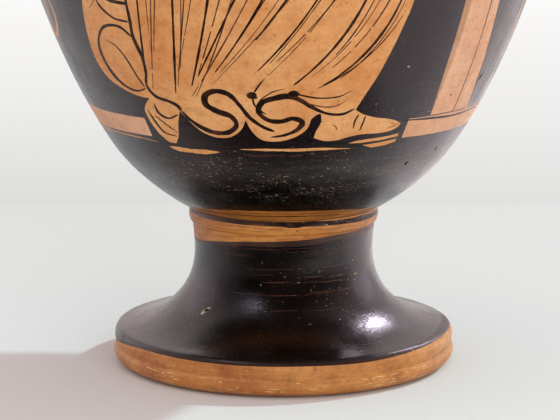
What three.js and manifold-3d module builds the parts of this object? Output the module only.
// A red-figure hydria, a Greek water jar of fired clay: a turned foot with a rolled edge, a waisted
// stem, an egg-shaped body, a flat shoulder, a narrow neck with an overhanging lip, two level carrying
// handles at the sides and one upright pouring handle at the back. The jar is hollow, and so is its
// foot from below. The handles are luted on with slip and fired with the jar, so it is one solid.
// Millimetres, +Z up, the front faces -Y, the origin is on the shelf under the jar's axis.
import * as THREE from 'three';
import { mergeVertices } from 'three/addons/utils/BufferGeometryUtils.js';
import Module from 'manifold-3d';

// Foot and stem
const RIM_RADIUS = 70.8; // fullest radius of the rolled edge
const RIM_HEIGHT = 8; // rolled edge, from the shelf to the groove over it
const RIM_UNDERCUT = 6.5; // how far the rolled edge draws in to the shelf
const GROOVE_DEPTH = 1.1;
const FLANGE_HEIGHT = 7.5; // rounded edge of the disc over the groove
const FLANGE_ROUND = 2.3;
const REST_WIDTH = 8; // width of the flat ring that the jar stands on
const STEM_RADIUS = 37.1; // at the waist
const STEM_WAIST = 47.5; // height of the waist above the shelf
const FOOT_HEIGHT = 65.8; // shelf to the underside of the body
const COLLAR_HEIGHT = 6.8; // ridge where the stem meets the body
const COLLAR_PROUD = 1.5;
const STEM_TOP_FLARE = 0.8; // how much the stem widens from its waist to the collar
const STEM_WALL = 11; // clay between the stem's waist and the hollow of the foot
const SOLE_THICKNESS = 9; // clay between the hollow of the foot and the floor of the jar

// Body
const BODY_RADIUS = 114;
const BELLY_HEIGHT = 152.2; // underside of the body to its fullest girth
const SHOULDER_HEIGHT = 67; // fullest girth to the root of the neck
const NECK_ROOT_RADIUS = 46;
const WALL = 5.5;
const FLOOR_RISE = 4.5; // floor of the jar over the underside of the body

// Neck and mouth
const NECK_RADIUS = 38.5; // at its narrowest
const NECK_HEIGHT = 79; // root of the neck to the underside of the lip
const MOUTH_RADIUS = 66; // outside of the lip
const LIP_HEIGHT = 13;
const LIP_OVERHANG = 5; // how far the lip stands out over the neck's flare
const LIP_WIDTH = 9; // flat top of the lip

// Level side handles
const HANDLE_DIAMETER = 15.5;
const HANDLE_SPAN = 84; // between the two roots of one handle
const HANDLE_REACH = 44; // how far the grip stands out from the roots
const HANDLE_RISE = 40;
const HANDLE_HEIGHT = 212; // height of the roots above the shelf

// Upright back handle
const STRAP_WIDTH = 24;
const STRAP_THICKNESS = 13;
const STRAP_REACH = 14; // how far the grip stands out beyond its lower root
const STRAP_ROOT_RADIUS = 82; // where its lower root stands on the shoulder
const STRAP_DROP = 15; // upper root below the underside of the lip

const ROOT_DEPTH = 13; // how deep each handle runs into the jar before the inside is hollowed
const ROOT_SWELL = 0.3; // extra thickness of a handle at its root
const ROOT_LENGTH = 13; // length over which that swelling dies away

// Fineness of the facets
const GIRTH_SEGMENTS = 48;
const SECTION_SIDES = 10;
const HANDLE_STEPS = 17;

const CLAY_COLOR = 0x1d1917;

const bodyBase = FOOT_HEIGHT;
const girthHeight = bodyBase + BELLY_HEIGHT;
const neckRoot = girthHeight + SHOULDER_HEIGHT;
const lipUnderside = neckRoot + NECK_HEIGHT;
const mouthHeight = lipUnderside + LIP_HEIGHT;
const floorHeight = bodyBase + FLOOR_RISE;

const point = (radius, height) => new THREE.Vector2(radius, height);

// Points of a cubic curve from its start to its end, without the start.
function curve(start, startHandle, endHandle, end, steps) {
  return new THREE.CubicBezierCurve(start, startHandle, endHandle, end).getPoints(steps).slice(1);
}

// The rolled edge, the groove and the rounded flange of the foot, from the shelf to the disc's edge.
function rimOutline() {
  const grooveRadius = RIM_RADIUS - GROOVE_DEPTH;
  const flangeTop = RIM_HEIGHT + FLANGE_HEIGHT;
  const sole = point(RIM_RADIUS - RIM_UNDERCUT, 0);
  const groove = point(grooveRadius, RIM_HEIGHT);
  const roll = curve(sole, point(RIM_RADIUS + 1, 0.12 * RIM_HEIGHT),
    point(RIM_RADIUS + 1.4, 0.8 * RIM_HEIGHT), groove, 5);
  const flangeEdge = point(grooveRadius + 0.8, RIM_HEIGHT + 0.45 * FLANGE_HEIGHT);
  const discEdge = point(grooveRadius + 0.8 - FLANGE_ROUND, flangeTop);
  const flange = curve(flangeEdge, point(flangeEdge.x, RIM_HEIGHT + 0.8 * FLANGE_HEIGHT),
    point(discEdge.x + 0.5 * FLANGE_ROUND, flangeTop), discEdge, 2);
  return [sole, ...roll, flangeEdge, ...flange];
}

// The disc and the waisted stem, from the disc's edge up to the collar.
function stemOutline(discEdge) {
  const waist = point(STEM_RADIUS, STEM_WAIST);
  const top = point(STEM_RADIUS + STEM_TOP_FLARE, FOOT_HEIGHT - COLLAR_HEIGHT);
  const spread = discEdge.x - STEM_RADIUS;
  const climb = STEM_WAIST - discEdge.y;
  const lower = curve(discEdge, point(STEM_RADIUS + 0.42 * spread, discEdge.y + 0.08 * climb),
    point(STEM_RADIUS, STEM_WAIST - 0.55 * climb), waist, 7);
  const upper = curve(waist, point(STEM_RADIUS, STEM_WAIST + 0.4 * (top.y - waist.y)),
    point(top.x - 0.3 * STEM_TOP_FLARE, top.y - 0.25 * (top.y - waist.y)), top, 2);
  return [...lower, ...upper];
}

// The ridge round the top of the stem.
function collarOutline(stemTop) {
  const crest = point(stemTop.x + COLLAR_PROUD, stemTop.y + 0.5 * COLLAR_HEIGHT);
  const shelf = point(stemTop.x + 0.7 * COLLAR_PROUD, stemTop.y + 0.92 * COLLAR_HEIGHT);
  return [point(stemTop.x + 0.75 * COLLAR_PROUD, stemTop.y + 0.2 * COLLAR_HEIGHT), crest, shelf];
}

// The egg of the body from the collar to the fullest girth, in two stretches, and the shoulder.
function bellyOutline(collarTop) {
  const start = point(collarTop.x + 0.5, bodyBase);
  const width = BODY_RADIUS - start.x;
  const at = (radiusShare, heightShare) =>
    point(start.x + radiusShare * width, bodyBase + heightShare * BELLY_HEIGHT);
  const bend = at(0.433, 0.187);
  const lower = curve(start, at(0.12, 0.03), at(0.317, 0.099), bend, 5);
  const upper = curve(bend, at(0.846, 0.5), at(1, 0.89), point(BODY_RADIUS, girthHeight), 7);
  return { start, lower, upper };
}

function shoulderOutline() {
  const width = BODY_RADIUS - NECK_ROOT_RADIUS;
  return curve(point(BODY_RADIUS, girthHeight), point(BODY_RADIUS, girthHeight + 0.5 * SHOULDER_HEIGHT),
    point(NECK_ROOT_RADIUS + 0.62 * width, girthHeight + 0.8 * SHOULDER_HEIGHT),
    point(NECK_ROOT_RADIUS, neckRoot), 8);
}

// The neck draws in over the shoulder and flares to the underside of the lip.
function neckOutline() {
  const root = point(NECK_ROOT_RADIUS, neckRoot);
  const flare = point(MOUTH_RADIUS - LIP_OVERHANG, lipUnderside);
  const waist = point(NECK_RADIUS, neckRoot + 0.42 * NECK_HEIGHT);
  const lower = curve(root, point(NECK_RADIUS + 1.5, neckRoot + 0.07 * NECK_HEIGHT),
    point(NECK_RADIUS, neckRoot + 0.22 * NECK_HEIGHT), waist, 3);
  const upper = curve(waist, point(NECK_RADIUS, neckRoot + 0.72 * NECK_HEIGHT),
    point(flare.x - 0.62 * (flare.x - NECK_RADIUS), neckRoot + 0.9 * NECK_HEIGHT), flare, 5);
  return { lower, upper };
}

function lipOutline() {
  const under = point(MOUTH_RADIUS - 0.35 * LIP_OVERHANG, lipUnderside + 0.04 * LIP_HEIGHT);
  const topEdge = point(MOUTH_RADIUS - 2, mouthHeight);
  const face = curve(under, point(MOUTH_RADIUS + 0.9, lipUnderside + 0.2 * LIP_HEIGHT),
    point(MOUTH_RADIUS + 0.6, mouthHeight - 0.12 * LIP_HEIGHT), topEdge, 4);
  return [under, ...face];
}

// The inner places of a stretch of outline, moved into the clay by the wall, square to the surface.
function inset(outline) {
  return outline.slice(1, -1).map((here, index) => {
    const along = outline[index + 2].clone().sub(outline[index]).normalize();
    return point(here.x - WALL * along.y, here.y + WALL * along.x);
  });
}

// The inside of the jar, from the mouth down to the middle of the floor.
function insideOutline(belly, shoulder, neck) {
  const wall = inset([...belly.upper, ...shoulder, ...neck.lower, ...neck.upper]).reverse();
  const lowest = wall[wall.length - 1];
  const bowl = curve(lowest, point(0.8 * lowest.x, lowest.y - 0.55 * (lowest.y - floorHeight)),
    point(0.5 * lowest.x, floorHeight), point(0, floorHeight), 5);
  return [point(MOUTH_RADIUS - 2 - LIP_WIDTH, mouthHeight), ...wall, ...bowl];
}

// The hollow under the foot, from its top on the axis down to the flat ring.
function footHollow() {
  const top = floorHeight - SOLE_THICKNESS;
  const throat = STEM_RADIUS - STEM_WALL;
  const mouth = point(RIM_RADIUS - RIM_UNDERCUT - REST_WIDTH, 0);
  const dome = curve(point(0, top), point(0.7 * throat, top),
    point(throat, top - 0.1 * STEM_WAIST), point(throat, 0.75 * STEM_WAIST), 3);
  const trumpet = curve(point(throat, 0.75 * STEM_WAIST), point(throat, 0.35 * STEM_WAIST),
    point(mouth.x - 2, 0.3 * STEM_WAIST), mouth, 5);
  return [point(0, top), ...dome, ...trumpet];
}

// A solid of revolution from an outline that starts and ends on the axis.
function turned(outline) {
  return new THREE.LatheGeometry(outline, GIRTH_SEGMENTS).rotateX(Math.PI / 2);
}

// The jar before its inside is hollowed, and the solid that hollows it, which runs out past the mouth.
function turnedParts() {
  const rim = rimOutline();
  const stem = stemOutline(rim[rim.length - 1]);
  const collar = collarOutline(stem[stem.length - 1]);
  const belly = bellyOutline(collar[collar.length - 1]);
  const shoulder = shoulderOutline();
  const neck = neckOutline();
  const inside = insideOutline(belly, shoulder, neck);
  const outside = [...footHollow(), ...rim, ...stem, ...collar, belly.start, ...belly.lower, ...belly.upper,
    ...shoulder, ...neck.lower, ...neck.upper, ...lipOutline(), point(0, mouthHeight)];
  const past = mouthHeight + LIP_HEIGHT;
  const hollow = [point(0, past), point(inside[0].x, past), ...inside].reverse();
  return { outside: turned(outside), hollow: turned(hollow) };
}

// An oval bar swept along a path, swollen towards both of its ends where it is luted to the wall.
function bar(path, width, thickness) {
  const section = new THREE.Shape();
  for (let side = 0; side < SECTION_SIDES; side += 1) {
    const turn = (2 * Math.PI * (side + 0.5)) / SECTION_SIDES;
    const x = 0.5 * width * Math.cos(turn);
    const y = 0.5 * thickness * Math.sin(turn);
    if (side === 0) section.moveTo(x, y);
    else section.lineTo(x, y);
  }
  section.closePath();
  const swept = new THREE.ExtrudeGeometry(section, { steps: HANDLE_STEPS, extrudePath: path });
  const stations = path.getSpacedPoints(HANDLE_STEPS);
  const length = path.getLength();
  const place = swept.getAttribute('position');
  const corner = new THREE.Vector3();
  for (let index = 0; index < place.count; index += 1) {
    corner.fromBufferAttribute(place, index);
    const distances = stations.map((station) => station.distanceTo(corner));
    const nearest = distances.indexOf(Math.min(...distances));
    const run = (length * nearest) / HANDLE_STEPS;
    const fromRoot = Math.max(0, Math.min(run, length - run) - ROOT_DEPTH);
    const swell = 1 + ROOT_SWELL * Math.exp(-((fromRoot / ROOT_LENGTH) ** 2));
    corner.sub(stations[nearest]).multiplyScalar(swell).add(stations[nearest]);
    place.setXYZ(index, corner.x, corner.y, corner.z);
  }
  return swept;
}

// One level handle: it leaves the body square, bends up and comes back. side is 1 on +X, -1 on -X.
function sideHandle(side) {
  const half = 0.5 * HANDLE_SPAN;
  const surface = Math.sqrt(BODY_RADIUS ** 2 - half ** 2);
  // Shares of the half span, of the reach and of the rise, from one root to the middle of the grip.
  const halfRun = [[-0.92, 0, 0], [-1, 0.25, 0.04], [-1.03, 0.55, 0.24], [-0.82, 0.83, 0.68], [-0.38, 0.97, 0.95]];
  const run = [...halfRun, [0, 1, 1], ...halfRun.map(([a, b, c]) => [-a, b, c]).reverse()];
  const path = new THREE.CatmullRomCurve3(run.map(([across, out, up]) => new THREE.Vector3(
    side * (surface - ROOT_DEPTH + out * (HANDLE_REACH + ROOT_DEPTH)),
    across * half,
    HANDLE_HEIGHT + up * HANDLE_RISE,
  )), false, 'centripetal');
  return bar(path, HANDLE_DIAMETER, HANDLE_DIAMETER);
}

// Where an outline passes a value on one of its two axes, read on the other.
function passing(outline, axis, value, other) {
  const after = outline.findIndex((place, index) => index > 0
    && (place[axis] - value) * (outline[index - 1][axis] - value) <= 0);
  const [from, to] = [outline[after - 1], outline[after]];
  return THREE.MathUtils.mapLinear(value, from[axis], to[axis], from[other], to[other]);
}

// The upright handle rises from the shoulder and bends in to the neck under the lip.
function backHandle() {
  const lower = point(STRAP_ROOT_RADIUS, passing(shoulderOutline(), 'x', STRAP_ROOT_RADIUS, 'y'));
  const upperHeight = lipUnderside - STRAP_DROP;
  const neck = neckOutline();
  const upper = point(passing([...neck.lower, ...neck.upper], 'y', upperHeight, 'x'), upperHeight);
  const rise = upper.y - lower.y;
  const reach = lower.x + STRAP_REACH;
  const inward = reach - upper.x;
  const run = [
    [lower.x - 0.4 * ROOT_DEPTH, lower.y - 0.9 * ROOT_DEPTH],
    [lower.x + 0.5 * STRAP_REACH, lower.y + 0.15 * rise],
    [reach, lower.y + 0.45 * rise],
    [reach - 0.1 * inward, lower.y + 0.78 * rise],
    [reach - 0.38 * inward, lower.y + rise],
    [reach - 0.72 * inward, lower.y + 1.04 * rise],
    [upper.x - ROOT_DEPTH, upper.y],
  ];
  const path = new THREE.CatmullRomCurve3(
    run.map(([out, height]) => new THREE.Vector3(0, out, height)), false, 'centripetal');
  return bar(path, STRAP_WIDTH, STRAP_THICKNESS);
}

// A closed solid of the library that joins and cuts, from a geometry.
function solidOf(wasm, geometry) {
  const bare = geometry.clone();
  bare.deleteAttribute('normal');
  bare.deleteAttribute('uv');
  const merged = mergeVertices(bare, 1e-3);
  const corners = [];
  const index = merged.getIndex().array;
  for (let start = 0; start < index.length; start += 3) {
    const [a, b, c] = [index[start], index[start + 1], index[start + 2]];
    if (a !== b && b !== c && c !== a) corners.push(a, b, c);
  }
  return new wasm.Manifold(new wasm.Mesh({
    numProp: 3,
    vertProperties: new Float32Array(merged.getAttribute('position').array),
    triVerts: new Uint32Array(corners),
  }));
}

function geometryOf(solid) {
  const mesh = solid.getMesh();
  const geometry = new THREE.BufferGeometry();
  geometry.setAttribute('position', new THREE.BufferAttribute(new Float32Array(mesh.vertProperties), 3));
  geometry.setIndex(new THREE.BufferAttribute(new Uint32Array(mesh.triVerts), 1));
  geometry.computeVertexNormals();
  return geometry;
}

const wasm = await Module();
wasm.setup();
const { outside, hollow } = turnedParts();
const handles = [sideHandle(1), sideHandle(-1), backHandle()].map((handle) => solidOf(wasm, handle));
const jar = handles.reduce((joined, handle) => joined.add(handle), solidOf(wasm, outside))
  .subtract(solidOf(wasm, hollow));

const hydria = new THREE.Mesh(geometryOf(jar), new THREE.MeshStandardMaterial({
  color: CLAY_COLOR, roughness: 0.32, metalness: 0,
}));
hydria.name = 'hydria';

const group = new THREE.Group();
group.add(hydria);
export default group;
